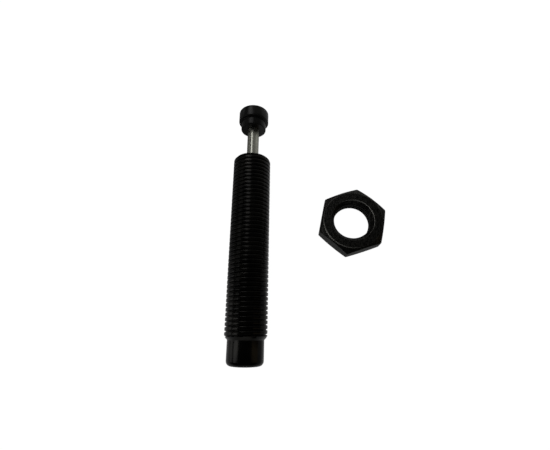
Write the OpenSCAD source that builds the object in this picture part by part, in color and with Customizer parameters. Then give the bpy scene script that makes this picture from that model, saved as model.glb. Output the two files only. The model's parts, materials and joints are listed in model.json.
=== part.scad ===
// Threaded shock absorber with its mounting nut lying beside it.
// The tube lies along Y with the rod end towards +Y, and the nut lies flat to the +X side.
// The origin is the centre of the tube's rear face. Lengths are in millimetres.

/* [Body] */
// Thread diameter of the body
thread_d = 14; // [13:0.5:18]
// Length of the outer tube
tube_len = 73; // [70:0.5:100]
// Diameter of the smooth rear end
pilot_d = 12; // [11:0.1:12.4]
// Length of the smooth rear end
pilot_len = 7.7; // [7.4:0.1:12]
// Rounding of the rear edge
pilot_round = 1.5; // [0.4:0.1:1.8]
// Length of the cone between the smooth end and the thread
shoulder_len = 1.1; // [0.6:0.1:2]
// Chamfer at the front of the thread
front_chamfer = 0.6; // [0.3:0.1:1.2]
// Bore of the outer tube
tube_bore_d = 10.6; // [10.2:0.1:11.2]
// Thickness of the rear wall
rear_wall = 7; // [6.4:0.1:7.3]

/* [Pressure tube] */
// Bore of the pressure tube
inner_bore_d = 7.4; // [7.1:0.1:7.9]
// Wall thickness of the pressure tube
inner_wall = 0.8; // [0.6:0.05:1]
// Thickness of the base's flange
base_flange = 1.6; // [1:0.1:2.5]
// Length of the base's spigot in the pressure tube
base_spigot = 2.4; // [1.5:0.1:4]
// Number of metering orifices
orifice_count = 6; // [3:1:8]
// Diameter of each orifice
orifice_d = 0.6; // [0.4:0.1:0.9]
// Spacing of the first two orifices
orifice_step = 1.2; // [1:0.1:1.6]
// How much wider each next spacing is
orifice_growth = 1.25; // [1.1:0.05:1.3]

/* [Rod and cap] */
// Diameter of the piston rod
rod_d = 4.5; // [4:0.1:4.8]
// Working stroke
stroke = 12; // [9:0.5:13]
// Gap left between the cap and the tube at full stroke
cap_clear = 2.1; // [1:0.1:5]
// Diameter of the rod's two turned-down ends
rod_step_d = 2.6; // [2.2:0.1:3]
// Diameter of the cap's hub
hub_d = 9.8; // [9:0.1:11]
// Length of the cap's hub
hub_len = 3.3; // [3:0.1:5]
// Chamfer of the hub's lower edge
hub_chamfer = 0.3; // [0.2:0.1:0.8]
// Diameter of the cap's disc
disc_d = 11.8; // [11.3:0.1:12.2]
// Length of the cap's disc
disc_len = 4.8; // [3.6:0.1:6]
// Rounding of the impact face's edge
disc_round = 0.6; // [0.3:0.1:1]
// Chamfer of the disc's lower edge
disc_chamfer = 0.25; // [0.1:0.05:0.5]
// Diameter of the steel head inside the cap
head_d = 6.4; // [5.6:0.1:7.4]
// Length of the steel head
head_len = 2.5; // [2:0.1:3]
// Depth at which the head sits in the cap
head_depth = 2.1; // [1.6:0.1:3]

/* [Piston] */
// Length of the piston
piston_len = 5.5; // [5:0.1:7]
// Width of the piston ring
ring_w = 1.2; // [0.8:0.1:1.6]
// Depth of the ring's groove
ring_depth = 0.7; // [0.5:0.05:0.9]
// Split in the piston ring
ring_split = 0.4; // [0.2:0.1:0.8]
// Diameter of the check ball
check_ball_d = 2; // [1.8:0.1:2.2]
// Diameter of the ball's seat and of the passage behind it
seat_d = 1.4; // [1.1:0.1:1.5]
// Opening stroke of the check ball
ball_lift = 0.35; // [0.2:0.05:0.5]
// Depth of the rod's socket in the piston
rod_socket = 2.6; // [2:0.1:3]
// Diameter of the cross holes behind the piston
cross_hole_d = 0.9; // [0.6:0.1:1]
// Distance of the cross holes ahead of the rod stopper
cross_hole_ahead = 0.8; // [0.6:0.1:1.5]
// Length of the rod stopper
stopper_len = 1.5; // [1:0.1:2.5]
// Diameter of the rod stopper
stopper_d = 6.6; // [6:0.1:7]

/* [Return spring] */
// Wire diameter of the return spring
wire_d = 0.7; // [0.5:0.05:0.8]
// Mean diameter of the coils
coil_d = 5.7; // [5.4:0.1:6]
// Number of working turns
working_turns = 10; // [7:1:12]
// Thickness of the spring guide's flange
guide_flange = 1.5; // [1:0.1:2]
// Length of the spring guide's spigot
guide_spigot = 3; // [2:0.1:4]
// Bore of the spring guide
guide_bore_d = 1.5; // [1.2:0.1:1.7]

/* [Bearing and seals] */
// Length of the bearing's flange
bearing_flange = 3; // [2.4:0.1:4]
// Length of the bearing's neck
neck_len = 6.5; // [5:0.1:9]
// Diameter of the bearing's neck
neck_d = 6.6; // [6:0.1:7.2]
// Length of the shoulder that meets the pressure tube
bearing_shoulder = 1.5; // [1:0.1:2.5]
// Length of the bearing's spigot in the pressure tube
bearing_spigot = 4; // [3:0.1:5]
// Length of the seal holder
holder_len = 10; // [9:0.1:12]
// Outside diameter of the rod seal and the scraper
seal_d = 8; // [7:0.1:8.2]
// Length of the rod seal
seal_len = 3.2; // [2.6:0.1:3.6]
// Length of the scraper
scraper_len = 2; // [1.6:0.1:2.6]
// Section diameter of the two gaskets
gasket_w = 1.2; // [1:0.05:1.3]
// Width of the lips of the rod seal and the scraper
lip_w = 0.45; // [0.3:0.05:0.6]
// Length of the lips that meets the rod
lip_land = 0.6; // [0.3:0.1:1]
// Depth of the cup between the rod seal's lips
seal_cup = 1.8; // [1.2:0.1:2.2]
// Depth of the cup outside the scraper's lip
scraper_cup = 0.8; // [0.5:0.1:1.2]
// Thickness of the retaining washer
washer_len = 1.4; // [1:0.1:2]
// Thickness of the lock ring
lock_len = 0.8; // [0.6:0.1:1.2]
// Depth of the lock ring's groove in the tube
lock_depth = 0.3; // [0.2:0.05:0.4]
// Width of the lock ring
lock_w = 1.2; // [0.9:0.1:1.5]
// Opening of the lock ring
lock_gap = 2.6; // [1.5:0.1:4]
// Distance of the lock ring from the front face
lock_inset = 0.7; // [0.4:0.1:1.5]

/* [Edges] */
// Chamfer of the small turned edges
edge_break = 0.3; // [0.1:0.05:0.4]

/* [Fill port] */
// Diameter of the fill screw
screw_d = 4; // [3:0.1:5]
// Length of the fill screw
screw_len = 3; // [2.4:0.1:3.4]
// Depth of the screw's end below the rear face
screw_inset = 0.4; // [0.1:0.1:0.8]
// Width across flats of the screw's socket
socket_af = 2; // [1.5:0.1:2.2]
// Depth of the screw's socket
socket_depth = 1.6; // [1:0.1:1.9]
// Diameter of the sealing ball
fill_ball_d = 2.5; // [2:0.1:3]
// Diameter of the fill passage
passage_d = 1.8; // [1.2:0.1:1.9]

/* [Mounting nut] */
// Width across flats of the nut
nut_af = 22; // [20:0.5:26]
// Thickness of the nut
nut_len = 7; // [5:0.5:9]
// Thread depth from the body's crest to the nut's bore
thread_depth = 0.5; // [0.4:0.05:1]
// Width of the countersink beyond the thread diameter
sink_extra = 0.6; // [0.1:0.1:0.8]
// Angle of the countersinks from the nut's face
sink_angle = 50; // [20:1:60]
// Angle of the nut's outer chamfer from its face
nut_chamfer_angle = 30; // [20:1:40]
// Chamfer circle as a share of the width across flats
nut_face_share = 0.945; // [0.9:0.005:0.98]
// Distance of the nut's axis from the tube's axis
nut_aside = 37; // [30:0.1:60]
// Place of the nut along the tube
nut_along = 48.4; // [20:0.1:80]
// Turn of the nut about its own axis
nut_turn = 18; // [0:1:60]

/* [Clearances] */
// Radial clearance of the rod in its bearing
rod_clear = 0.02; // [0.01:0.01:0.05]
// Radial clearance of the seals' lips on the rod
lip_clear = 0.01; // [0.01:0.005:0.03]
// Radial clearance of the rod in the seal holder and the washer
rod_pass = 0.2; // [0.1:0.05:0.4]
// Radial clearance of the piston in its tube
piston_clear = 0.05; // [0.03:0.01:0.08]
// Radial clearance of the piston ring in its tube
ring_clear = 0.02; // [0.01:0.01:0.04]
// Radial clearance of the seal stack in the outer tube
stack_clear = 0.02; // [0.01:0.01:0.05]
// Radial clearance of a sleeve on its spigot
spigot_clear = 0.02; // [0.01:0.01:0.04]
// Gap between pieces that meet end to end and then move apart
stop_gap = 0.03; // [0.01:0.01:0.05]
// Radial room between the foam and the outer tube
foam_room = 0.2; // [0.1:0.05:0.5]
// Gap between the foam and the flanges at its ends
foam_gap = 0.2; // [0.1:0.05:0.4]
// Radial room round the check ball
ball_room = 0.3; // [0.15:0.05:0.4]
// Radial room between the spring and its guide
guide_room = 0.1; // [0.05:0.05:0.2]
// Extra width of the gaskets' grooves
groove_play = 0.2; // [0.1:0.05:0.3]

/* [Hidden] */
$fn = 96;
black = "#1b1b1c";
steel = "#a9abad";
bronze = "#b0873f";
rubber = "#2a2a2a";
resin = "#6f6a5c";
foam = "#3a3a3f";
over = 1;

thread_r = thread_d / 2;
pilot_r = pilot_d / 2;
tube_r = tube_bore_d / 2;
stack_r = tube_r - stack_clear;
rod_r = rod_d / 2;
step_r = rod_step_d / 2;
inner_r = inner_bore_d / 2;
sleeve_r = inner_r + inner_wall;
seal_r = seal_d / 2;

// Places along the tube, worked from the rear face and from the front face.
base_front = rear_wall + base_flange + base_spigot;
lock_front = tube_len - lock_inset;
lock_rear = lock_front - lock_len;
washer_rear = lock_rear - washer_len;
holder_rear = washer_rear - holder_len;
flange_rear = holder_rear - bearing_flange;
neck_rear = flange_rear - neck_len;
sleeve_front = neck_rear - bearing_shoulder;
spigot_rear = sleeve_front - bearing_spigot;
stopper_front = spigot_rear - stop_gap;
piston_front = stopper_front - stopper_len;
piston_rear = piston_front - piston_len;
cross_y = stopper_front + cross_hole_ahead;
guide_front = piston_rear;
spring_front = guide_front - guide_flange - stop_gap;
cap_rear = tube_len + stroke + cap_clear;
head_rear = cap_rear + head_depth;
cap_front = cap_rear + hub_len + disc_len;

// The check ball rests on the edge of its seat.
ball_r = check_ball_d / 2;
seat_r = seat_d / 2;
ball_sink = sqrt(ball_r * ball_r - seat_r * seat_r);
ball_room_len = ball_r + ball_sink + ball_lift;
seat_y = piston_rear + ball_room_len;
ball_y = seat_y - ball_sink;

// The fill ball rests on the edge of the fill passage.
fill_r = fill_ball_d / 2;
passage_r = passage_d / 2;
fill_sink = sqrt(fill_r * fill_r - passage_r * passage_r);
fill_seat_y = screw_inset + screw_len + fill_r + fill_sink;
fill_ball_y = fill_seat_y - fill_sink;

// Two grooves for the gaskets, in the bearing's flange and in the holder.
groove_r = stack_r + stack_clear - gasket_w;
groove_w = gasket_w + groove_play;
bearing_groove_y = flange_rear + bearing_flange / 2;
holder_groove_y = holder_rear + holder_len / 2;

// Rise of a closed turn, in wire diameters: just over one, so that the turns don't merge.
closed_pitch = 1.04;

nut_bore_r = thread_r - thread_depth;
sink_r = thread_r + sink_extra;
sink_len = (sink_r - nut_bore_r) * tan(sink_angle);
nut_face_r = nut_af * nut_face_share / 2;
nut_corner_r = nut_af / 2 / cos(30);
nut_chamfer_len = (nut_corner_r - nut_face_r) * tan(nut_chamfer_angle);

// A turned piece: the profile is a list of [radius, distance from the rear face].
module turned(profile) {
  rotate([-90, 0, 0]) rotate_extrude() polygon(profile);
}

// A round rod or hole along the tube, from one distance to another.
module round_bar(r, from, to) {
  translate([0, from, 0]) rotate([-90, 0, 0]) cylinder(r = r, h = to - from);
}

// Points of a quarter round or less, in the profile's plane.
function arc(cr, cy, r, from, to, steps = 6) =
  [for (i = [0:steps]) let (a = from + (to - from) * i / steps) [cr + r * cos(a), cy + r * sin(a)]];

module ring_groove(y, r, w) {
  difference() {
    round_bar(tube_r + over, y - w / 2, y + w / 2);
    round_bar(r, y - w / 2 - over, y + w / 2 + over);
  }
}

module outer_tube() {
  color(black) difference() {
    turned(concat(
      [[0, 0]],
      arc(pilot_r - pilot_round, pilot_round, pilot_round, -90, 0),
      [
        [pilot_r, pilot_len],
        [thread_r, pilot_len + shoulder_len],
        [thread_r, tube_len - front_chamfer],
        [thread_r - front_chamfer, tube_len],
        [0, tube_len]
      ]
    ));
    round_bar(tube_r, rear_wall, tube_len + over);
    round_bar(screw_d / 2, -over, fill_ball_y);
    round_bar(fill_r, -over, fill_seat_y);
    round_bar(passage_r, -over, rear_wall + over);
    round_bar(tube_r + lock_depth, lock_rear, lock_front);
  }
}

// Distance from the sleeve's end to orifice i, each spacing wider than the last.
function orifice_run(i) = i == 0 ? 0 : orifice_run(i - 1) + orifice_step * pow(orifice_growth, i - 1);

module inner_tube() {
  first_orifice = piston_rear - stroke + orifice_step;
  color(steel) difference() {
    round_bar(sleeve_r, rear_wall + base_flange, sleeve_front);
    round_bar(inner_r, rear_wall, sleeve_front + over);
    for (i = [0:orifice_count - 1])
      translate([0, first_orifice + orifice_run(i), 0]) cylinder(d = orifice_d, h = 2 * sleeve_r, $fn = 24);
  }
}

module tube_base() {
  rim = inner_r - spigot_clear;
  color(steel) turned([
    [0, rear_wall],
    [sleeve_r, rear_wall],
    [sleeve_r, rear_wall + base_flange],
    [rim, rear_wall + base_flange],
    [rim, base_front - edge_break],
    [rim - edge_break, base_front],
    [0, base_front]
  ]);
}

module piston_rod() {
  rod_rear = piston_front - rod_socket;
  color(steel) difference() {
    union() {
      round_bar(step_r, rod_rear, piston_front + over);
      round_bar(rod_r, piston_front, head_rear);
      round_bar(step_r, head_rear - over, head_rear + head_len);
    }
    round_bar(seat_r, rod_rear - over, cross_y);
    translate([0, cross_y, 0]) cylinder(d = cross_hole_d, h = rod_d + 2 * over, center = true, $fn = 24);
  }
}

module piston() {
  outer = inner_r - piston_clear;
  groove = outer - ring_depth;
  ring_y = piston_rear + piston_len / 2;
  color(bronze) difference() {
    turned([
      [0, piston_rear],
      [outer - edge_break, piston_rear],
      [outer, piston_rear + edge_break],
      [outer, ring_y - ring_w / 2],
      [groove, ring_y - ring_w / 2],
      [groove, ring_y + ring_w / 2],
      [outer, ring_y + ring_w / 2],
      [outer, piston_front - edge_break],
      [outer - edge_break, piston_front],
      [0, piston_front]
    ]);
    round_bar(step_r, piston_front - rod_socket, piston_front + over);
    round_bar(seat_r, piston_rear - over, piston_front);
    round_bar(ball_r + ball_room, piston_rear - over, seat_y);
  }
}

module piston_ring() {
  outer = inner_r - ring_clear;
  inner = inner_r - piston_clear - ring_depth;
  ring_y = piston_rear + piston_len / 2;
  color(resin) difference() {
    round_bar(outer, ring_y - ring_w / 2, ring_y + ring_w / 2);
    round_bar(inner, ring_y - ring_w, ring_y + ring_w);
    translate([-ring_split / 2, ring_y - ring_w, 0]) cube([ring_split, 2 * ring_w, outer + over]);
  }
}

module check_ball() {
  color(steel) translate([0, ball_y, 0]) sphere(r = ball_r);
}

module spring_guide() {
  spigot = coil_d / 2 - wire_d / 2 - guide_room;
  spigot_end = guide_front - guide_flange - guide_spigot;
  flange = coil_d / 2 + wire_d / 2 + guide_room;
  bore = guide_bore_d / 2;
  color(steel) turned([
    [bore, guide_front],
    [flange, guide_front],
    [flange, guide_front - guide_flange],
    [spigot, guide_front - guide_flange],
    [spigot, spigot_end + edge_break],
    [spigot - edge_break, spigot_end],
    [bore, spigot_end]
  ]);
}

// Rise of the wire's centre after so many turns: a closed turn at each end and open turns between.
function coil_rise(t, turns, closed, open) =
  t < 1 ? closed * t : t > turns - 1 ? closed + open * (turns - 2) + closed * (t - turns + 1)
  : closed + open * (t - 1);

module coil_wire(length) {
  sides = 8;
  per_turn = 22;
  turns = working_turns + 2;
  steps = turns * per_turn;
  closed = wire_d * closed_pitch;
  open = (length - 2 * closed - wire_d / 2) / working_turns;
  mean_r = coil_d / 2;
  wire_r = wire_d / 2;
  points = [
    for (i = [0:steps], j = [0:sides - 1])
      let (
        t = i / per_turn,
        rise = wire_d / 4 + coil_rise(t, turns, closed, open),
        r = mean_r + wire_r * cos(360 * j / sides)
      )
      [r * cos(360 * t), r * sin(360 * t), rise + wire_r * sin(360 * j / sides)]
  ];
  skin = [
    for (i = [0:steps - 1], j = [0:sides - 1])
      let (k = (j + 1) % sides)
      each [
        [i * sides + j, (i + 1) * sides + j, (i + 1) * sides + k],
        [i * sides + j, (i + 1) * sides + k, i * sides + k]
      ]
  ];
  first = [for (j = [0:sides - 1]) j];
  last = [for (j = [sides - 1:-1:0]) steps * sides + j];
  polyhedron(points, concat(skin, [first, last]), convexity = 10);
}

// The spring stands between its base and its guide, with both ends ground flat.
module return_spring() {
  length = spring_front - base_front - stop_gap;
  color(steel) translate([0, base_front + stop_gap, 0]) rotate([-90, 0, 0]) intersection() {
    coil_wire(length);
    cylinder(r = coil_d, h = length);
  }
}

module rod_stopper() {
  color(steel) difference() {
    round_bar(stopper_d / 2, piston_front, stopper_front);
    round_bar(rod_r, piston_front - over, stopper_front + over);
  }
}

module rod_bearing() {
  bore = rod_r + rod_clear;
  spigot = inner_r - spigot_clear;
  color(bronze) difference() {
    turned([
      [bore, spigot_rear],
      [spigot - edge_break, spigot_rear],
      [spigot, spigot_rear + edge_break],
      [spigot, sleeve_front],
      [sleeve_r, sleeve_front],
      [sleeve_r, neck_rear],
      [neck_d / 2, neck_rear],
      [neck_d / 2, flange_rear],
      [stack_r, flange_rear],
      [stack_r, holder_rear],
      [bore, holder_rear]
    ]);
    ring_groove(bearing_groove_y, groove_r, groove_w);
  }
}

module accumulator() {
  color(foam) difference() {
    round_bar(tube_r - foam_room, neck_rear + foam_gap, flange_rear - foam_gap);
    round_bar(neck_d / 2 + spigot_clear, neck_rear, flange_rear);
  }
}

module gasket(y) {
  color(rubber) translate([0, y, 0]) rotate([-90, 0, 0])
    rotate_extrude() translate([groove_r + gasket_w / 2, 0]) circle(d = gasket_w, $fn = 48);
}

module bearing_gasket() {
  gasket(bearing_groove_y);
}

module outer_gasket() {
  gasket(holder_groove_y);
}

module seal_holder() {
  pass = rod_r + rod_pass;
  color(steel) difference() {
    round_bar(stack_r, holder_rear, washer_rear);
    round_bar(pass, holder_rear - over, washer_rear + over);
    round_bar(seal_r, holder_rear - over, holder_rear + seal_len);
    round_bar(seal_r, washer_rear - scraper_len, washer_rear + over);
    ring_groove(holder_groove_y, groove_r, groove_w);
  }
}

// The rod seal is a cup with two lips that open towards the oil.
module rod_seal() {
  inner = rod_r + lip_clear;
  middle = (inner + seal_r) / 2;
  heel_y = holder_rear + seal_len;
  color(rubber) turned([
    [inner, holder_rear],
    [inner + lip_w, holder_rear],
    [middle, holder_rear + seal_cup],
    [seal_r - lip_w, holder_rear],
    [seal_r, holder_rear],
    [seal_r, heel_y],
    [inner + lip_w / 2, heel_y],
    [inner + lip_w / 2, holder_rear + 2 * lip_land],
    [inner, holder_rear + lip_land]
  ]);
}

// The scraper's lip leans inwards to the rod, towards the front.
module scraper() {
  inner = rod_r + lip_clear;
  root = inner + lip_w;
  rear = washer_rear - scraper_len;
  color(rubber) turned([
    [root, rear],
    [seal_r, rear],
    [seal_r, washer_rear],
    [root + lip_w, washer_rear],
    [root, washer_rear - scraper_cup],
    [inner, washer_rear],
    [inner, washer_rear - lip_land]
  ]);
}

module retaining_washer() {
  pass = rod_r + rod_pass;
  color(steel) difference() {
    round_bar(stack_r, washer_rear, lock_rear);
    round_bar(pass, washer_rear - over, lock_rear + over);
  }
}

module lock_ring() {
  outer = tube_r + lock_depth - stack_clear;
  color(steel) difference() {
    round_bar(outer, lock_rear, lock_front);
    round_bar(outer - lock_w, lock_rear - over, lock_front + over);
    translate([-lock_gap / 2, lock_rear - over, 0]) cube([lock_gap, lock_len + 2 * over, outer + over]);
  }
}

module fill_ball() {
  color(steel) translate([0, fill_ball_y, 0]) sphere(r = fill_r);
}

module fill_screw() {
  color(black) difference() {
    round_bar(screw_d / 2, screw_inset, screw_inset + screw_len);
    translate([0, screw_inset - over, 0]) rotate([-90, 0, 0])
      cylinder(d = socket_af / cos(30), h = socket_depth + over, $fn = 6);
  }
}

module rod_head() {
  color(steel) difference() {
    round_bar(head_d / 2, head_rear, head_rear + head_len);
    round_bar(step_r, head_rear - over, head_rear + head_len + over);
  }
}

module impact_cap() {
  hub_r = hub_d / 2;
  disc_r = disc_d / 2;
  disc_rear = cap_rear + hub_len;
  color(black) difference() {
    turned(concat(
      [
        [0, cap_rear],
        [hub_r - hub_chamfer, cap_rear],
        [hub_r, cap_rear + hub_chamfer],
        [hub_r, disc_rear],
        [disc_r - disc_chamfer, disc_rear],
        [disc_r, disc_rear + disc_chamfer]
      ],
      arc(disc_r - disc_round, cap_front - disc_round, disc_round, 0, 90),
      [[0, cap_front]]
    ));
    round_bar(rod_r, cap_rear - over, head_rear);
    round_bar(head_d / 2, head_rear, head_rear + head_len);
  }
}

// A hexagon with 30 degree chamfers on both faces and a countersunk bore.
module mounting_nut() {
  color(black) translate([nut_aside, nut_along, -thread_r]) rotate([0, 0, nut_turn]) difference() {
    intersection() {
      cylinder(r = nut_corner_r, h = nut_len, $fn = 6);
      rotate_extrude() polygon([
        [0, 0],
        [nut_face_r, 0],
        [nut_corner_r, nut_chamfer_len],
        [nut_corner_r, nut_len - nut_chamfer_len],
        [nut_face_r, nut_len],
        [0, nut_len]
      ]);
    }
    translate([0, 0, -over]) cylinder(r = nut_bore_r, h = nut_len + 2 * over);
    cylinder(r1 = sink_r, r2 = nut_bore_r, h = sink_len);
    translate([0, 0, nut_len - sink_len]) cylinder(r1 = nut_bore_r, r2 = sink_r, h = sink_len);
  }
}

outer_tube();
inner_tube();
tube_base();
piston_rod();
piston();
piston_ring();
check_ball();
spring_guide();
return_spring();
rod_stopper();
rod_bearing();
accumulator();
bearing_gasket();
seal_holder();
outer_gasket();
rod_seal();
scraper();
retaining_washer();
lock_ring();
fill_ball();
fill_screw();
rod_head();
impact_cap();
mounting_nut();
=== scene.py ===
import json
import math

import bmesh
import bpy
from mathutils import Euler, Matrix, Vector


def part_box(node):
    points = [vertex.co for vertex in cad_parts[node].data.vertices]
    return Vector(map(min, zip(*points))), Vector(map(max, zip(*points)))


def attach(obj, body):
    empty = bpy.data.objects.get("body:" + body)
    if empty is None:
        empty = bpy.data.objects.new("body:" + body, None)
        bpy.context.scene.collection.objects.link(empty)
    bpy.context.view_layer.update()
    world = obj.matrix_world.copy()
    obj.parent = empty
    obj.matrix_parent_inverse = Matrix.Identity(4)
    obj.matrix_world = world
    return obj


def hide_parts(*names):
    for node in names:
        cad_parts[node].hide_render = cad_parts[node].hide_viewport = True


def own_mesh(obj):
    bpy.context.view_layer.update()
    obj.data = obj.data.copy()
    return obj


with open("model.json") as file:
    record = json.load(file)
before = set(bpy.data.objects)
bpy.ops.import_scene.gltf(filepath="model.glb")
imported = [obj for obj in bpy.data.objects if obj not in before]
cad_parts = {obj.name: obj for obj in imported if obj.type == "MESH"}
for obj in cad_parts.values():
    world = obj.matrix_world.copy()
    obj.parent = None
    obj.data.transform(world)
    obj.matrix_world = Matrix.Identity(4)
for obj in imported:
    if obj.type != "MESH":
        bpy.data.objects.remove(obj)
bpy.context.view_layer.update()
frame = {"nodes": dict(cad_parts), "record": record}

mm = 0.001
meshSizes = {
    "weld": 0.001 * mm,              # points closer than this become one
    "sliver": 0.0005 * mm,           # edges shorter than this are taken out
    "edgeShare": 0.49,               # a rounding takes at most this share of an edge
    "straight": math.radians(89),    # corners with a half angle above this stay as they are
}


def filleted(corners, steps):
    # Rounds the corners of an open outline: a corner is (radius from axis, height, rounding).
    points = []
    for i, (r, h, rounding) in enumerate(corners):
        here = Vector((r, h))
        if rounding <= 0 or i in (0, len(corners) - 1):
            points.append(here)
            continue
        before = Vector(corners[i - 1][:2]) - here
        after = Vector(corners[i + 1][:2]) - here
        half = before.angle(after) / 2
        if half > meshSizes["straight"]:
            # The number of points stays the same, so that columns can be joined.
            points.extend([here] * (steps + 1))
            continue
        longest = min(before.length, after.length) * meshSizes["edgeShare"]
        reach = min(rounding / math.tan(half), longest)
        size = reach * math.tan(half)
        inward = (before.normalized() + after.normalized()).normalized()
        middle = here + inward * (size / math.sin(half))
        start = here + before.normalized() * reach - middle
        end = here + after.normalized() * reach - middle
        turn = start.angle(end)
        for s in range(steps + 1):
            a = turn * s / steps
            spot = (start * math.sin(turn - a) + end * math.sin(a)) / math.sin(turn)
            points.append(middle + spot)
    return [(p.x, p.y) for p in points]


def makePiece(name, bm, body, sharpAngle):
    bmesh.ops.recalc_face_normals(bm, faces=bm.faces)
    mesh = bpy.data.meshes.new(name)
    bm.to_mesh(mesh)
    bm.free()
    mesh.polygons.foreach_set("use_smooth", [True] * len(mesh.polygons))
    mesh.set_sharp_from_angle(angle=math.radians(sharpAngle))
    piece = bpy.data.objects.new(name, mesh)
    bpy.context.scene.collection.objects.link(piece)
    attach(piece, body)
    return piece


def onAxisY(angle, r, along):
    # Angle 0 is straight up; the angle turns right-handed about +Y.
    return (r * math.sin(angle), along, r * math.cos(angle))


def revolve(bm, outline, columns):
    # Turns an outline of (radius, distance along Y) about the tube's axis.
    rings = []
    for r, along in outline:
        angles = [2 * math.pi * c / columns for c in range(columns if r > 0 else 1)]
        rings.append([bm.verts.new(onAxisY(angle, r, along)) for angle in angles])
    for one, two in zip(rings, rings[1:]):
        for c in range(columns):
            d = (c + 1) % columns
            corners = [one[c % len(one)], one[d % len(one)], two[d % len(two)], two[c % len(two)]]
            # At the axis two corners are one.
            bm.faces.new(list(dict.fromkeys(corners)))


def stitch(bm, grid, shift):
    # Joins columns of points into a closed skin. Past the last column the rows move on by shift,
    # as a helix does.
    rows = len(grid[0])
    for c, column in enumerate(grid):
        last = c == len(grid) - 1
        after, move = (grid[0], shift) if last else (grid[c + 1], 0)
        for i in range(rows - 1 - move):
            bm.faces.new((column[i], after[i + move], after[i + move + 1], column[i + 1]))


def weld(bm):
    bmesh.ops.remove_doubles(bm, verts=bm.verts, dist=meshSizes["weld"])
    bmesh.ops.dissolve_degenerate(bm, edges=bm.edges, dist=meshSizes["sliver"])


tubeLow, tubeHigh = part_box("outer_tube")
tubeSizes = {
    "length": tubeHigh[1],
    "threadRadius": 7.0 * mm,
    "pitch": 1.5 * mm,
    "threadDepth": 0.5 * mm,
    "crestOffset": 0.8 * mm,      # where a crest passes the top of the tube
    "pilotRadius": 6.0 * mm,
    "pilotLength": 7.7 * mm,
    "pilotRounding": 1.5 * mm,
    "shoulderLength": 1.1 * mm,
    "frontChamfer": 0.6 * mm,
    "boreRadius": 5.3 * mm,
    "rearWall": 7.0 * mm,
    "lockRear": 71.5 * mm,
    "lockFront": 72.3 * mm,
    "lockRadius": 5.6 * mm,
    "screwRadius": 2.0 * mm,
    "screwDepth": 4.65 * mm,
    "ballRadius": 1.25 * mm,
    "ballDepth": 5.52 * mm,
    "passageRadius": 0.9 * mm,
    "rimRounding": 0.15 * mm,     # at the screw hole and at the bore's mouth
    "roundingSteps": 6,
    "columns": 120,
    "sharpAngle": 40,
}

# Outside thread, from one root to the next: share of the pitch from the crest's middle, and share
# of the depth.
threadShape = [
    (-0.47, 0.97), (-0.44, 0.83), (-0.36, 0.3), (-0.33, 0.12), (-0.29, 0.03), (-0.22, 0.0),
    (0.22, 0.0), (0.29, 0.03), (0.33, 0.12), (0.36, 0.3), (0.44, 0.83), (0.47, 0.97),
]


def makeThreadedTube():
    t = tubeSizes
    pitch = t["pitch"]
    front = t["length"]
    rear = t["pilotLength"]

    def envelope(along):
        byFront = t["threadRadius"] - max(0, along - (front - t["frontChamfer"]))
        rise = min(1, max(0, (along - rear) / t["shoulderLength"]))
        byRear = t["pilotRadius"] + (t["threadRadius"] - t["pilotRadius"]) * rise
        return min(byFront, byRear)

    # One turn more at each end, since the columns move on by a pitch around the tube.
    firstTurn = math.floor((rear - t["crestOffset"]) / pitch) - 1
    lastTurn = math.ceil((front - t["crestOffset"]) / pitch) + 1
    turns = range(firstTurn, lastTurn + 1)
    rows = [(turn, share, depth) for turn in turns for share, depth in threadShape]
    bm = bmesh.new()
    grid = []
    for c in range(t["columns"]):
        angle = 2 * math.pi * c / t["columns"]
        column = []
        for turn, share, depth in rows:
            along = (turn + share + c / t["columns"]) * pitch + t["crestOffset"]
            kept = min(front, max(rear, along))
            r = t["threadRadius"] - depth * t["threadDepth"]
            if kept != along:
                r = t["threadRadius"]      # past an end the rows fold onto that end's edge
            column.append(bm.verts.new(onAxisY(angle, min(r, envelope(kept)), kept)))
        grid.append(column)
    stitch(bm, grid, len(threadShape))

    # The rest is turned: smooth end, rear face, fill port, bore, lock groove and front face.
    revolve(bm, filleted([
        (t["pilotRadius"], rear, 0),
        (t["pilotRadius"], 0, t["pilotRounding"]),
        (t["screwRadius"], 0, t["rimRounding"]),
        (t["screwRadius"], t["screwDepth"], 0),
        (t["ballRadius"], t["screwDepth"], 0),
        (t["ballRadius"], t["ballDepth"], 0),
        (t["passageRadius"], t["ballDepth"], 0),
        (t["passageRadius"], t["rearWall"], 0),
        (t["boreRadius"], t["rearWall"], 0),
        (t["boreRadius"], t["lockRear"], 0),
        (t["lockRadius"], t["lockRear"], 0),
        (t["lockRadius"], t["lockFront"], 0),
        (t["boreRadius"], t["lockFront"], 0),
        (t["boreRadius"], front, t["rimRounding"]),
        (envelope(front), front, 0),
    ], t["roundingSteps"]), t["columns"])
    weld(bm)
    piece = makePiece("threadedTube", bm, "barrel", t["sharpAngle"])
    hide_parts("outer_tube")
    return piece


threadedTube = makeThreadedTube()
print("threaded tube:", len(threadedTube.data.polygons), "faces")


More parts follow.
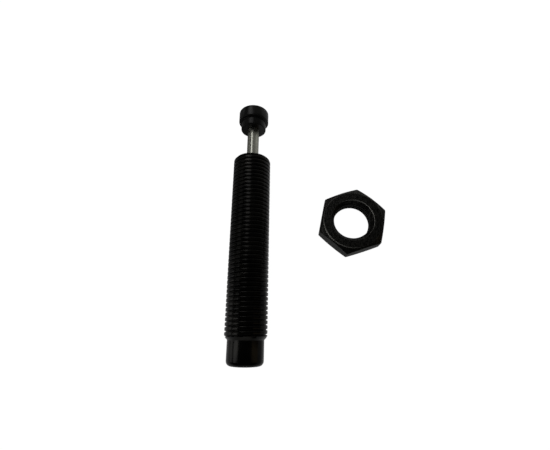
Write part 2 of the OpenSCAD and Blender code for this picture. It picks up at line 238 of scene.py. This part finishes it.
nutLow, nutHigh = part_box("mounting_nut")
nutSizes = {
    "middle": ((nutLow[0] + nutHigh[0]) / 2, (nutLow[1] + nutHigh[1]) / 2),
    "base": nutLow[2],
    "thickness": nutHigh[2] - nutLow[2],
    "acrossFlats": 22.0 * mm,
    "halfSide": 30,               # degrees from the middle of a flat to a corner
    "turn": 18,                   # degrees about the nut's axis
    "cornerRounding": 0.5 * mm,
    "faceRadius": 10.395 * mm,
    "chamferSlope": math.tan(math.radians(30)),
    "edgeRounding": 0.2 * mm,
    "lowerRounding": 0.3 * mm,
    "sinkRadius": 7.6 * mm,
    "sinkSlope": math.tan(math.radians(50)),
    "boreRadius": 6.5 * mm,
    "rimRounding": 0.12 * mm,
    "roundingSteps": 3,
    "pitch": 1.5 * mm,
    "threadDepth": 0.55 * mm,
    "wornBand": 0.22 * mm,
    "faceWearAndGlint": (228, 58),        # where the face's edge is scuffed bare and lit as a painted glint: middle, reach in degrees
    "sinkWearAndGlint": (45, 80),         # the same for the countersink's edge
    "leastWear": 0.08,
    "wearAndGlintGain": 1.4,
    "sharpAngle": 50,
}

# Inside thread: share of the pitch from the crest's middle, and share of the depth, outwards from
# the bore.
nutThreadShape = [
    (-0.44, 0.96), (-0.375, 0.85), (-0.25, 0.42), (-0.125, 0.04), (0.0, 0.0),
    (0.125, 0.04), (0.25, 0.42), (0.375, 0.85), (0.44, 0.96), (0.5, 1.0),
]
# Degrees from the middle of a flat, closer together towards the corners.
flatAngles = [
    -30, -29.3, -28.6, -27.8, -27, -25, -22, -18, -14, -10, -6, -2,
    2, 6, 10, 14, 18, 22, 25, 27, 27.8, 28.6, 29.3,
]


def makeNut():
    n = nutSizes
    apothem = n["acrossFlats"] / 2
    rounding = n["cornerRounding"]
    height = n["thickness"]
    rim = n["rimRounding"]
    rimRadius = n["sinkRadius"] - rim / n["sinkSlope"]
    halfSide = n["halfSide"]
    # A corner's rounding has its middle at this distance, and meets the flat at this angle.
    middleReach = (apothem - rounding) / math.cos(math.radians(halfSide))
    tangent = math.degrees(math.atan(middleReach * math.sin(math.radians(halfSide)) / apothem))

    def outerRadius(degrees):
        if abs(degrees) <= tangent:
            return apothem / math.cos(math.radians(degrees))
        away = math.radians(halfSide - abs(degrees))
        aside = middleReach * math.sin(away)
        return middleReach * math.cos(away) + math.sqrt(rounding ** 2 - aside ** 2)

    def place(degrees, r, up):
        angle = math.radians(degrees + n["turn"])
        x, y = n["middle"]
        return (x + r * math.cos(angle), y + r * math.sin(angle), n["base"] + up)

    # Bare metal on an edge, strongest on the arc where the lamps glint: partly real scuffing,
    # partly a painted highlight.
    def wearAndGlintShare(degrees, ring):
        middle, reach = ring
        away = abs((degrees + n["turn"] - middle + 180) % 360 - 180)
        return max(n["leastWear"], min(1, n["wearAndGlintGain"] * (1 - away / reach)))

    columns = [(halfSide * (2 * side + 1) + degrees, outerRadius(degrees))
               for side in range(6) for degrees in flatAngles]
    # Turns beyond both faces, since the columns move on by a pitch around the bore.
    turns = range(-2, math.ceil(height / n["pitch"]) + 2)
    rows = [(turn, share, depth) for turn in turns for share, depth in nutThreadShape]
    bm = bmesh.new()
    wearAndGlint = bm.verts.layers.float.new("edgeWearAndGlint")
    steps = n["roundingSteps"]
    band = n["wornBand"]
    thread, outside = [], []
    for degrees, outer in columns:
        column = []
        for turn, share, depth in rows:
            up = (turn + share + degrees / 360) * n["pitch"]
            kept = min(height - rim, max(rim, up))
            sink = n["sinkRadius"] - min(kept, height - kept) / n["sinkSlope"]
            crest = n["boreRadius"] + depth * n["threadDepth"]
            r = rimRadius if kept != up else max(crest, sink)
            column.append(bm.verts.new(place(degrees, r, kept)))
        thread.append(column)
        drop = (outer - n["faceRadius"]) * n["chamferSlope"]
        outline = filleted([
            (rimRadius, height - rim, 0),
            (n["sinkRadius"], height, rim),
            (n["sinkRadius"] + band, height, 0),
            (n["faceRadius"] - band, height, 0),
            (n["faceRadius"], height, n["edgeRounding"]),
            (n["faceRadius"] + band, height - band * n["chamferSlope"], 0),
            (outer, height - drop, n["edgeRounding"]),
            (outer, drop, n["edgeRounding"]),
            (n["faceRadius"], 0, n["lowerRounding"]),
            (n["sinkRadius"], 0, rim),
            (rimRadius, rim, 0),
        ], steps)
        points = [bm.verts.new(place(degrees, r, up)) for r, up in outline]
        # A rounded corner has one point more than its steps, and any other corner has one point.
        for point in points[:steps + 2]:
            point[wearAndGlint] = wearAndGlintShare(degrees, n["sinkWearAndGlint"])
        for point in points[steps + 4:2 * steps + 5]:
            point[wearAndGlint] = wearAndGlintShare(degrees, n["faceWearAndGlint"])
        outside.append(points)
    stitch(bm, thread, len(nutThreadShape))
    stitch(bm, outside, 0)
    weld(bm)
    piece = makePiece("threadedNut", bm, "loose_nut", n["sharpAngle"])
    even = piece.modifiers.new("evenShading", "WEIGHTED_NORMAL")
    even.keep_sharp = True
    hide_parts("mounting_nut")
    return piece


threadedNut = makeNut()
print("nut:", len(threadedNut.data.polygons), "faces")


turnedSizes = {
    "columns": 128,
    "sharpAngle": 35,
}


def turnedPiece(name, outline, body):
    bm = bmesh.new()
    revolve(bm, outline, turnedSizes["columns"])
    return makePiece(name, bm, body, turnedSizes["sharpAngle"])


capLow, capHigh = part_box("impact_cap")
capSizes = {
    "rear": capLow[1],
    "front": capHigh[1],
    "discLength": 4.8 * mm,
    "discRadius": 5.9 * mm,
    "discRounding": 0.6 * mm,
    "discRearRounding": 0.4 * mm,
    "hubRadius": 4.9 * mm,
    "hubRounding": 0.35 * mm,
    "rootRounding": 0.15 * mm,    # where the hub meets the disc
    "boreRadius": 2.25 * mm,
    "boreRounding": 0.2 * mm,
    "socketRear": 89.2 * mm,
    "socketFront": 91.7 * mm,
    "socketRadius": 3.2 * mm,
    "roundingSteps": 6,
}


def makeCap():
    c = capSizes
    discRear = c["front"] - c["discLength"]
    piece = turnedPiece("dampedCap", filleted([
        (0, c["front"], 0),
        (c["discRadius"], c["front"], c["discRounding"]),
        (c["discRadius"], discRear, c["discRearRounding"]),
        (c["hubRadius"], discRear, c["rootRounding"]),
        (c["hubRadius"], c["rear"], c["hubRounding"]),
        (c["boreRadius"], c["rear"], c["boreRounding"]),
        (c["boreRadius"], c["socketRear"], 0),
        (c["socketRadius"], c["socketRear"], 0),
        (c["socketRadius"], c["socketFront"], 0),
        (0, c["socketFront"], 0),
    ], c["roundingSteps"]), "plunger")
    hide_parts("impact_cap")
    return piece


rodLow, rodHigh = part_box("piston_rod")
rodSizes = {
    "rear": rodLow[1],
    "front": rodHigh[1],
    "radius": 2.25 * mm,
    "endRadius": 1.3 * mm,
    "pistonFace": 43.57 * mm,
    "headFace": 89.2 * mm,
    "passageRadius": 0.7 * mm,
    "passageDepth": 4.9 * mm,
    "edgeRounding": 0.1 * mm,
    "roundingSteps": 3,
}


def makeRod():
    s = rodSizes
    edge = s["edgeRounding"]
    passageEnd = s["rear"] + s["passageDepth"]
    piece = turnedPiece("polishedRod", filleted([
        (0, passageEnd, 0),
        (s["passageRadius"], passageEnd, 0),
        (s["passageRadius"], s["rear"], 0),
        (s["endRadius"], s["rear"], edge),
        (s["endRadius"], s["pistonFace"], 0),
        (s["radius"], s["pistonFace"], edge),
        (s["radius"], s["headFace"], edge),
        (s["endRadius"], s["headFace"], 0),
        (s["endRadius"], s["front"], edge),
        (0, s["front"], 0),
    ], s["roundingSteps"]), "plunger")
    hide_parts("piston_rod")
    return piece


dampedCap = makeCap()
polishedRod = makeRod()
print("cap and rod made")


springLow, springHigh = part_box("return_spring")
springSizes = {
    "rear": springLow[1],
    "front": springHigh[1],
    "meanRadius": 2.85 * mm,
    "wireRadius": 0.35 * mm,
    "closedRise": 0.728 * mm,     # along the spring, for the closed turn at each end
    "turns": 12,
    "stepsPerTurn": 40,
    "sides": 12,
    "sharpAngle": 50,
    "travel": 12 * mm,            # the rod's stroke, which the spring takes up
}


def makeSpring():
    s = springSizes
    length = s["front"] - s["rear"]
    openTurns = s["turns"] - 2
    openRise = (length - 2 * s["closedRise"] - s["wireRadius"]) / openTurns

    def rise(turn):
        opened = min(max(turn - 1, 0), openTurns)
        return s["wireRadius"] / 2 + openRise * opened + s["closedRise"] * (turn - opened)

    bm = bmesh.new()
    loops = []
    for step in range(s["turns"] * s["stepsPerTurn"] + 1):
        turn = step / s["stepsPerTurn"]
        angle = 2 * math.pi * turn + math.pi / 2
        loop = []
        for side in range(s["sides"]):
            around = 2 * math.pi * side / s["sides"]
            # Both ends are ground flat.
            along = min(max(rise(turn) + s["wireRadius"] * math.sin(around), 0), length)
            r = s["meanRadius"] + s["wireRadius"] * math.cos(around)
            loop.append(bm.verts.new(onAxisY(angle, r, s["rear"] + along)))
        loops.append(loop)
    for one, two in zip(loops, loops[1:]):
        for side in range(s["sides"]):
            after = (side + 1) % s["sides"]
            bm.faces.new((one[side], two[side], two[after], one[after]))
    bm.faces.new(loops[0])
    bm.faces.new(reversed(loops[-1]))
    piece = makePiece("coiledSpring", bm, "barrel", s["sharpAngle"])
    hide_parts("return_spring")
    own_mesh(piece)
    return piece


coiledSpring = makeSpring()
print("spring made")


white = (1, 1, 1, 1)
noiseRange = (0.3, 0.7)               # where most of a noise lies


def fillSocket(tree, socket, value):
    # Another node's output is linked, and any other value is set on the socket.
    if isinstance(value, bpy.types.NodeSocket):
        tree.links.new(value, socket)
    else:
        socket.default_value = value


def addNode(tree, kind, sockets, **settings):
    # Settings come first, since they choose which sockets a node shows.
    node = tree.nodes.new("ShaderNode" + kind)
    for name, value in settings.items():
        setattr(node, name, value)
    for name, value in sockets.items():
        fillSocket(tree, node.inputs[name], value)
    return node


def addNoise(tree, scale, detail, stretch=(1, 1, 1)):
    spot = addNode(tree, "TexCoord", {}).outputs["Object"]
    mapped = addNode(tree, "Mapping", {"Vector": spot, "Scale": stretch}).outputs["Vector"]
    noise = addNode(tree, "TexNoise", {"Vector": mapped, "Scale": scale, "Detail": detail})
    return noise.outputs["Fac"]


def addRange(tree, value, to, over=noiseRange):
    # While the value goes through the pair over, the result goes through the pair to.
    return addNode(tree, "MapRange", {
        "Value": value, "From Min": over[0], "From Max": over[1], "To Min": to[0], "To Max": to[1],
    }).outputs["Result"]


def addMath(tree, operation, one, two):
    step = addNode(tree, "Math", {}, operation=operation)
    fillSocket(tree, step.inputs[0], one)
    fillSocket(tree, step.inputs[1], two)
    return step.outputs[0]


def addMix(tree, kind, factor, one, two):
    sockets = {"Factor": factor, "A": one, "B": two}
    return addNode(tree, "Mix", sockets, data_type=kind).outputs["Result"]


def addShaderMix(tree, factor, one, two):
    step = addNode(tree, "MixShader", {"Fac": factor})
    fillSocket(tree, step.inputs[1], one)
    fillSocket(tree, step.inputs[2], two)
    return step.outputs[0]


def addGlow(tree, kind, color, strength):
    return addNode(tree, kind, {"Color": color, "Strength": strength}).outputs[0]


def mirroredRay(tree, rays):
    # 1 for a ray that metal or glass sends on.
    seen = rays.outputs
    return addMath(tree, "MAXIMUM", seen["Is Glossy Ray"], seen["Is Transmission Ray"])


def newMaterial(f):
    material = bpy.data.materials.new(f["name"])
    material.use_nodes = True
    tree = material.node_tree
    shader = tree.nodes["Principled BSDF"]
    shader.inputs["Metallic"].default_value = f["metallic"]
    shader.inputs["Specular IOR Level"].default_value = f["specular"]
    # The next two are stand-ins, for viewers that don't read nodes.
    shader.inputs["Base Color"].default_value = f["light"]
    shader.inputs["Roughness"].default_value = f["roughness"][0]
    return material, tree, shader


def addBump(tree, shader, height, strength, distance):
    bump = addNode(tree, "Bump", {"Height": height, "Strength": strength, "Distance": distance})
    fillSocket(tree, shader.inputs["Normal"], bump.outputs["Normal"])


# Noises are (scale, detail, stretch) and a bump is (strength, depth). The pattern drives color
# and roughness, and the bump too where there is no grain. In a patchy finish the colors keep
# further apart.
finishSetup = {
    "black_steel": {
        "name": "blackOxide", "metallic": 1.0, "specular": 0.5,
        "dark": (0.016, 0.016, 0.016, 1), "light": (0.028, 0.027, 0.025, 1),
        "roughness": (0.17, 0.26),
        "pattern": (260, 5), "patchy": True, "grain": (5200, 3), "bump": (0.12, 0.01 * mm),
    },
    "black_resin": {
        "name": "blackResin", "metallic": 0.0, "specular": 0.22,
        "dark": (0.001, 0.001, 0.001, 1), "light": (0.0024, 0.0024, 0.0021, 1),
        "roughness": (0.2, 0.3),
        "pattern": (400, 4), "grain": (7000, 2), "bump": (0.15, 0.01 * mm),
    },
    "polished_steel": {
        "name": "polishedSteel", "metallic": 1.0, "specular": 0.5,
        "dark": (0.53, 0.53, 0.465, 1), "light": (0.6, 0.605, 0.535, 1),
        "roughness": (0.23, 0.28),
        "pattern": (900, 3, (4, 0.12, 4)), "bump": (0.04, 0.004 * mm),
        "drawn": {
            "Specular Tint": (0.4, 0.4, 0.38, 1), "Anisotropic": 0.95, "Anisotropic Rotation": 0.25,
        },
    },
    "machined_steel": {
        "name": "turnedSteel", "metallic": 1.0, "specular": 0.5,
        "dark": (0.4, 0.41, 0.42, 1), "light": (0.6, 0.61, 0.62, 1),
        "roughness": (0.24, 0.375),
        "pattern": (1400, 4, (0.3, 5, 0.3)), "bump": (0.2, 0.01 * mm),
    },
    "bronze": {
        "name": "bearingBronze", "metallic": 1.0, "specular": 0.5,
        "dark": (0.42, 0.27, 0.12, 1), "light": (0.62, 0.43, 0.2, 1),
        "roughness": (0.256, 0.4),
        "pattern": (1400, 4, (0.3, 5, 0.3)), "bump": (0.2, 0.01 * mm),
    },
    "ring_resin": {
        "name": "ringResin", "metallic": 0.0, "specular": 0.4,
        "dark": (0.2, 0.17, 0.12, 1), "light": (0.32, 0.28, 0.21, 1),
        "roughness": (0.425, 0.575),
        "pattern": (2500, 4), "bump": (0.1, 0.02 * mm),
    },
    "seal_rubber": {
        "name": "sealRubber", "metallic": 0.0, "specular": 0.4,
        "dark": (0.012, 0.012, 0.012, 1), "light": (0.028, 0.028, 0.028, 1),
        "roughness": (0.51, 0.69),
        "pattern": (3500, 4), "bump": (0.15, 0.02 * mm),
    },
    "foam": {
        "name": "foamSleeve", "metallic": 0.0, "specular": 0.4,
        "dark": (0.03, 0.03, 0.035, 1), "light": (0.08, 0.08, 0.09, 1),
        "roughness": (0.765, 1.0),
        "pattern": (3000, 4), "bump": (0.8, 0.02 * mm),
    },
}


def makeFinish(f):
    material, tree, shader = newMaterial(f)
    pattern = addNoise(tree, *f["pattern"])
    fillSocket(tree, shader.inputs["Roughness"], addRange(tree, pattern, f["roughness"]))
    shade = addRange(tree, pattern, (0.0, 1.0)) if "patchy" in f else pattern
    color = addMix(tree, "RGBA", shade, f["dark"], f["light"])
    fillSocket(tree, shader.inputs["Base Color"], color)
    grain = addNoise(tree, *f["grain"]) if "grain" in f else pattern
    addBump(tree, shader, grain, *f["bump"])
    if "drawn" in f:
        # Drawn along the rod, so its shine stretches along Y.
        around = addNode(tree, "Tangent", {}, direction_type="RADIAL", axis="Y")
        fillSocket(tree, shader.inputs["Tangent"], around.outputs["Tangent"])
        for socket, value in f["drawn"].items():
            shader.inputs[socket].default_value = value
    return material


nutFinish = {
    "name": "blackNut", "metallic": 1.0, "specular": 0.5,
    "dark": (0.006, 0.006, 0.0055, 1),
    "light": (0.055, 0.054, 0.05, 1),
    "bare": (0.62, 0.61, 0.57, 1),    # on the scuffed edge arcs, placed where they glint, so partly a painted highlight
    "bareShare": (0.5, 1.0),
    "roughness": (0.46, 0.38),        # of the dark and of the light patches
    "cloud": (2400, 6),
    "scratches": (1100, 5, (3, 0.5, 1)),
    "patchRange": (0.17, 0.34),       # of the cloud times the scratches
    "bump": (0.25, 0.01 * mm),
}


def makeNutFinish():
    f = nutFinish
    material, tree, shader = newMaterial(f)
    cloud = addNoise(tree, *f["cloud"])
    scratched = addMath(tree, "MULTIPLY", cloud, addNoise(tree, *f["scratches"]))
    patches = addRange(tree, scratched, (0.0, 1.0), f["patchRange"])
    black = addMix(tree, "RGBA", patches, f["dark"], f["light"])
    # Bare metal on the scuffed edge arcs, which lie where the light glints: scuffing and a painted
    # highlight both.
    wearAndGlint = addNode(tree, "Attribute", {}, attribute_name="edgeWearAndGlint").outputs["Fac"]
    wornAndGlinting = addMath(tree, "MULTIPLY", wearAndGlint, addRange(tree, cloud, f["bareShare"]))
    color = addMix(tree, "RGBA", wornAndGlinting, black, f["bare"])
    fillSocket(tree, shader.inputs["Base Color"], color)
    roughness = addRange(tree, patches, f["roughness"], (0.0, 1.0))
    fillSocket(tree, shader.inputs["Roughness"], roughness)
    addBump(tree, shader, cloud, *f["bump"])
    return material


finishes = {slot: makeFinish(setup) for slot, setup in finishSetup.items()}
finishes["black_nut"] = makeNutFinish()

for part in frame["record"]["subparts"]:
    shown = frame["nodes"][part["node"]]
    shown.data.materials.clear()
    shown.data.materials.append(finishes[part["material_slot"]])
threadedTube.data.materials.append(finishes["black_steel"])
threadedNut.data.materials.append(finishes["black_nut"])
dampedCap.data.materials.append(finishes["black_resin"])
polishedRod.data.materials.append(finishes["polished_steel"])
coiledSpring.data.materials.append(finishes["machined_steel"])
print("finishes:", len(finishes))


# A mirror level is how bright the floor looks in the metal: painted light and shade on the floor
# that only reflections see, with lighter and darker stretches beside the tube and a painted pool of
# light left of the smooth end. Places are in metres on the floor, and a pair of them is where one
# level gives way to the next.
floorSetup = {
    "reach": 3.0,
    "color": (0.8, 0.8, 0.8, 1),
    "glow": 1.05,
    "glowInView": 0.94,           # the rest of what the camera sees keeps the object's shadow
    "mirrorLeft": 0.12,
    "mirrorNear": 0.37,           # close beside the tube, on its right
    "mirrorRight": 0.2,           # further right
    "nearEnds": (0.012, 0.026),
    "mirrorRod": 0.34,            # to the right of the rod
    "rodStarts": (0.07, 0.09),
    "mirrorLightPool": 0.22,          # a painted pool of light, added to the left of the smooth end
    "lightPoolEnds": (0.012, 0.03),
    "lightPoolSlope": 0.2,            # how far the light pool's end turns, along per across
    "sideChanges": (-0.003, 0.003),
}


def makeFloor():
    f = floorSetup
    bm = bmesh.new()
    half = f["reach"]
    for x, y in ((-half, -half), (half, -half), (half, half), (-half, half)):
        bm.verts.new((x, y, 0))
    bm.faces.new(bm.verts)
    mesh = bpy.data.meshes.new("floor")
    bm.to_mesh(mesh)
    bm.free()
    floor = bpy.data.objects.new("floor", mesh)
    floor.location.z = tubeLow[2]
    bpy.context.scene.collection.objects.link(floor)

    material = bpy.data.materials.new("paleFloor")
    material.use_nodes = True
    tree = material.node_tree
    tree.nodes.clear()
    rays = addNode(tree, "LightPath", {})
    diffuse = addNode(tree, "BsdfDiffuse", {"Color": f["color"]}).outputs[0]
    seen = addMath(tree, "MULTIPLY", rays.outputs["Is Camera Ray"], f["glowInView"])
    inView = addShaderMix(tree, seen, diffuse, addGlow(tree, "Emission", white, f["glow"]))

    # What reflections see of the floor is painted light and shade, set by the place on the floor.
    spot = addNode(tree, "TexCoord", {}).outputs["Object"]
    place = addNode(tree, "SeparateXYZ", {"Vector": spot}).outputs
    across, along = place["X"], place["Y"]
    fan = addMath(tree, "ADD", along, addMath(tree, "MULTIPLY", across, f["lightPoolSlope"]))
    lightPool = addRange(tree, fan, (f["mirrorLightPool"], 0.0), f["lightPoolEnds"])
    left = addMath(tree, "ADD", lightPool, f["mirrorLeft"])
    near = addRange(tree, across, (f["mirrorNear"], f["mirrorRight"]), f["nearEnds"])
    beyond = addRange(tree, along, (0.0, 1.0), f["rodStarts"])
    right = addMix(tree, "FLOAT", beyond, near, f["mirrorRod"])
    side = addRange(tree, across, (0.0, 1.0), f["sideChanges"])
    level = addMix(tree, "FLOAT", side, left, right)
    inMetal = addGlow(tree, "Emission", white, level)

    surface = addShaderMix(tree, mirroredRay(tree, rays), inView, inMetal)
    addNode(tree, "OutputMaterial", {"Surface": surface})
    mesh.materials.append(material)


# Levels of the room in reflections. A pair of directions is where one level gives way to the next.
worldSetup = {
    "tint": (1, 1, 0.96, 1),
    "overheadNear": 0.012,
    "overhead": 0.03,             # towards the rod end
    "overheadY": (0.05, 0.35),
    "farY": (0.47, 0.6),          # where the two levels beyond the rod end begin
    "farRight": 0.2,
    "farRightX": (-0.25, 0.1),
    "farHorizon": 0.28,
    "farHorizonZ": (0.16, 0.32),
    "nearSide": 0.3,              # straight behind the smooth end
    "nearSideY": (-0.96, -0.86),
    "forDiffuse": 0.5,            # the room as matt surfaces get it
}


def makeWorld():
    w = worldSetup
    world = bpy.data.worlds.new("studio")
    bpy.context.scene.world = world
    world.use_nodes = True
    tree = world.node_tree
    tree.nodes.clear()
    rays = addNode(tree, "LightPath", {})
    spot = addNode(tree, "TexCoord", {}).outputs["Generated"]
    way = addNode(tree, "SeparateXYZ", {"Vector": spot}).outputs
    far = addRange(tree, way["Y"], (0.0, 1.0), w["farY"])
    right = addRange(tree, way["X"], (0.0, w["farRight"]), w["farRightX"])
    low = addRange(tree, way["Z"], (w["farHorizon"], 0.0), w["farHorizonZ"])
    beyond = addMath(tree, "MULTIPLY", far, addMath(tree, "ADD", right, low))
    near = addRange(tree, way["Y"], (w["nearSide"], 0.0), w["nearSideY"])
    room = addRange(tree, way["Y"], (w["overheadNear"], w["overhead"]), w["overheadY"])
    level = addMath(tree, "ADD", addMath(tree, "ADD", beyond, near), room)
    mirrored = addGlow(tree, "Background", w["tint"], level)
    even = addGlow(tree, "Background", white, w["forDiffuse"])
    unseen = addShaderMix(tree, mirroredRay(tree, rays), even, mirrored)
    backdrop = addGlow(tree, "Background", white, 1.0)
    surface = addShaderMix(tree, rays.outputs["Is Camera Ray"], unseen, backdrop)
    addNode(tree, "OutputWorld", {"Surface": surface})


# Soft panels in a dark room, all turned towards one point of the tube.
lampSetup = {
    "aim": (0, 0.045, 0),
    "panels": {
        "farPanel": {"place": (-0.085, 0.37, 0.5), "size": (0.19, 0.34), "radiance": 0.82},
        "widePanel": {"place": (-0.232, 0.53, 0.5), "size": (0.23, 0.2), "radiance": 1.8},
        "leftWindow": {"place": (-0.47, -0.05, 0.37), "size": (0.13, 0.3), "radiance": 1.3},
        "leftCard": {"place": (-0.5, 0.005, 0.06), "size": (0.2, 0.15), "radiance": 0.85},
        "leftFill": {"place": (-0.47, 0.27, 0.35), "size": (0.28, 0.24), "radiance": 0.2},
        "rightGlow": {"place": (0.5, -0.07, 0.2), "size": (0.1, 0.42), "radiance": 0.28,
                      "color": (1, 0.78, 0.5)},
        "ceiling": {"place": (-0.3, -0.2, 0.9), "size": (0.8, 0.8), "radiance": 1.2,
                    "glossy": False},
    },
}


def makeLamps():
    aim = Vector(lampSetup["aim"])
    for name, panel in lampSetup["panels"].items():
        data = bpy.data.lights.new(name, "AREA")
        data.shape = "RECTANGLE"
        data.size, data.size_y = panel["size"]
        data.energy = panel["radiance"] * math.pi * data.size * data.size_y
        data.color = panel.get("color", (1, 1, 1))
        item = bpy.data.objects.new(name, data)
        item.location = panel["place"]
        item.rotation_euler = (aim - item.location).to_track_quat("-Z", "Y").to_euler()
        item.visible_camera = False
        item.visible_glossy = panel.get("glossy", True)
        bpy.context.scene.collection.objects.link(item)


cameraSetup = {
    "place": (0.01614, 0.010593, 0.105719),
    "angles": (18.861, 3.62, 0.548),    # degrees
    "lens": 20.303,
    "sensor": 36,
    "nearest": 0.005,
    "farthest": 20,
}


def makeCamera():
    c = cameraSetup
    data = bpy.data.cameras.new("camera")
    data.lens = c["lens"]
    data.sensor_width = c["sensor"]
    data.clip_start = c["nearest"]
    data.clip_end = c["farthest"]
    item = bpy.data.objects.new("camera", data)
    item.location = c["place"]
    item.rotation_euler = Euler([math.radians(a) for a in c["angles"]])
    bpy.context.scene.collection.objects.link(item)
    bpy.context.scene.camera = item


makeFloor()
makeWorld()
makeLamps()
makeCamera()
bpy.context.scene.view_settings.view_transform = "Standard"
print("floor, light and camera set")
